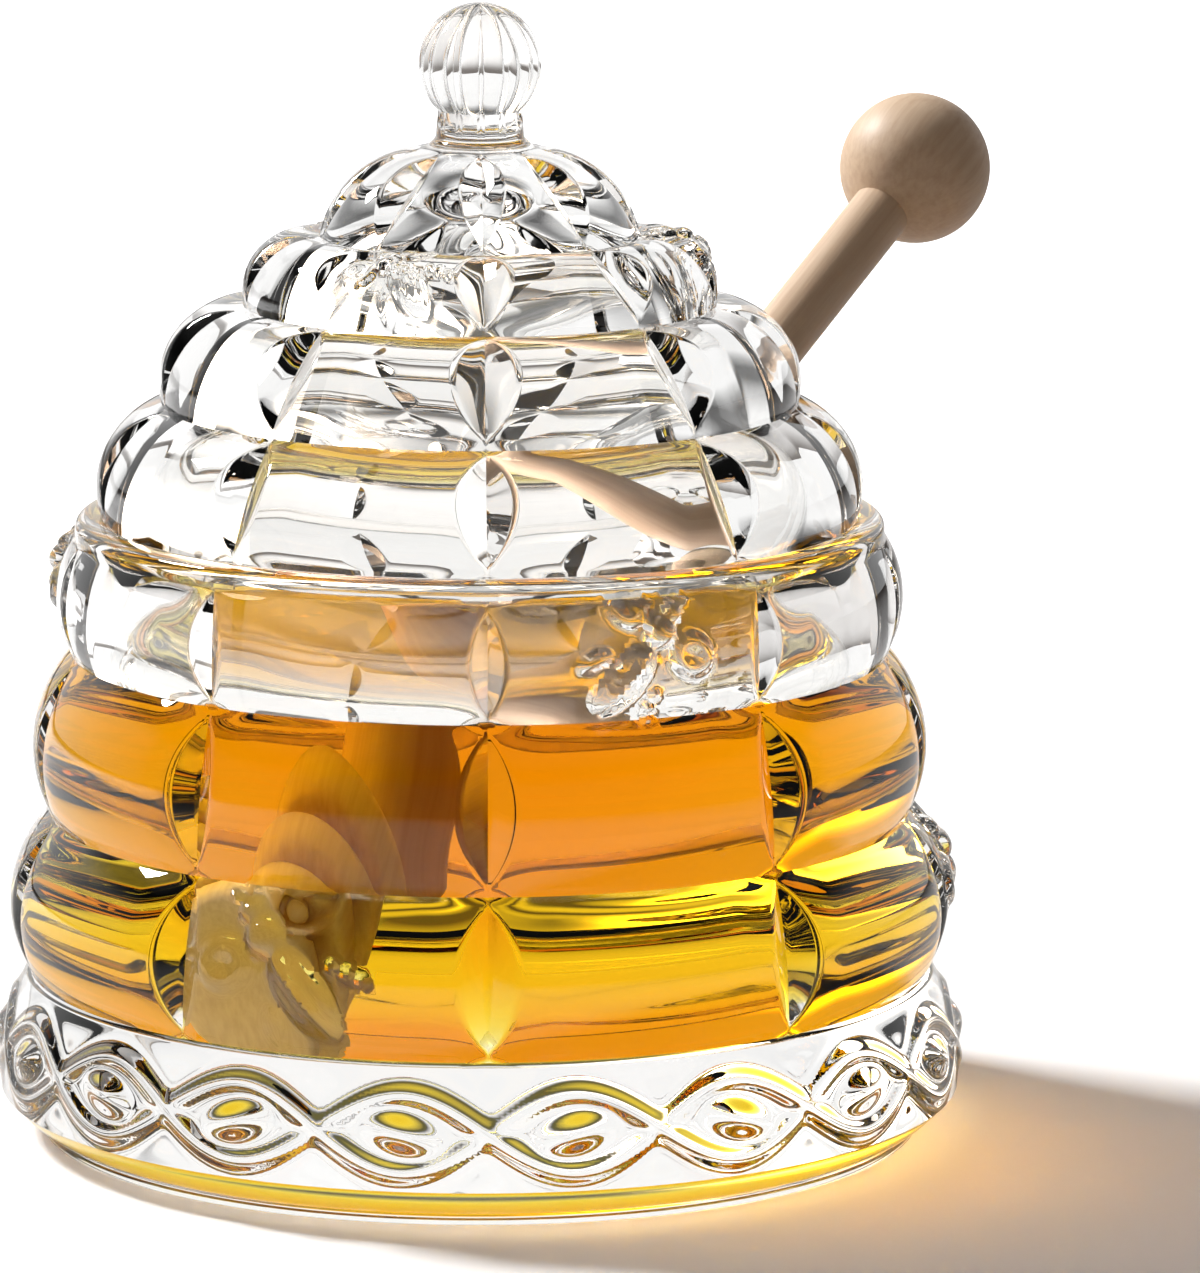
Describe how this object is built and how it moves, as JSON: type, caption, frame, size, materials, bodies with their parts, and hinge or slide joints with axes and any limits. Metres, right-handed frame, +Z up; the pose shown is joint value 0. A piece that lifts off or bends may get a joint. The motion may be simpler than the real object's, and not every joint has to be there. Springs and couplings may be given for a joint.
{
  "type": "beehive honey pot",
  "caption": "Clear pressed glass honey pot shaped as a ringed straw hive, with bees in relief, a knobbed lid, golden honey inside and a wooden dipper through the lid's notch.",
  "frame": {"origin": "centre of the pot's flat foot, on the table", "axes": "+Z up along the pot's axis; -Y is the front; the dipper leans out towards +X and +Y"},
  "size_m": [0.1162, 0.1279, 0.1272],
  "materials": {
    "glass_pot": "clear, fire polished pressed glass",
    "glass_lid": "clear, fire polished pressed glass",
    "honey": "clear golden honey, glossy surface",
    "dipper_wood": "sanded pale beech, unvarnished"
  },
  "bodies": {
    "root": {"glass_pot": "glass_pot", "glass_lid": "glass_lid", "honey": "honey", "dipper_stick": "dipper_wood", "dipper_ball": "dipper_wood"}
  },
  "joints": []
}
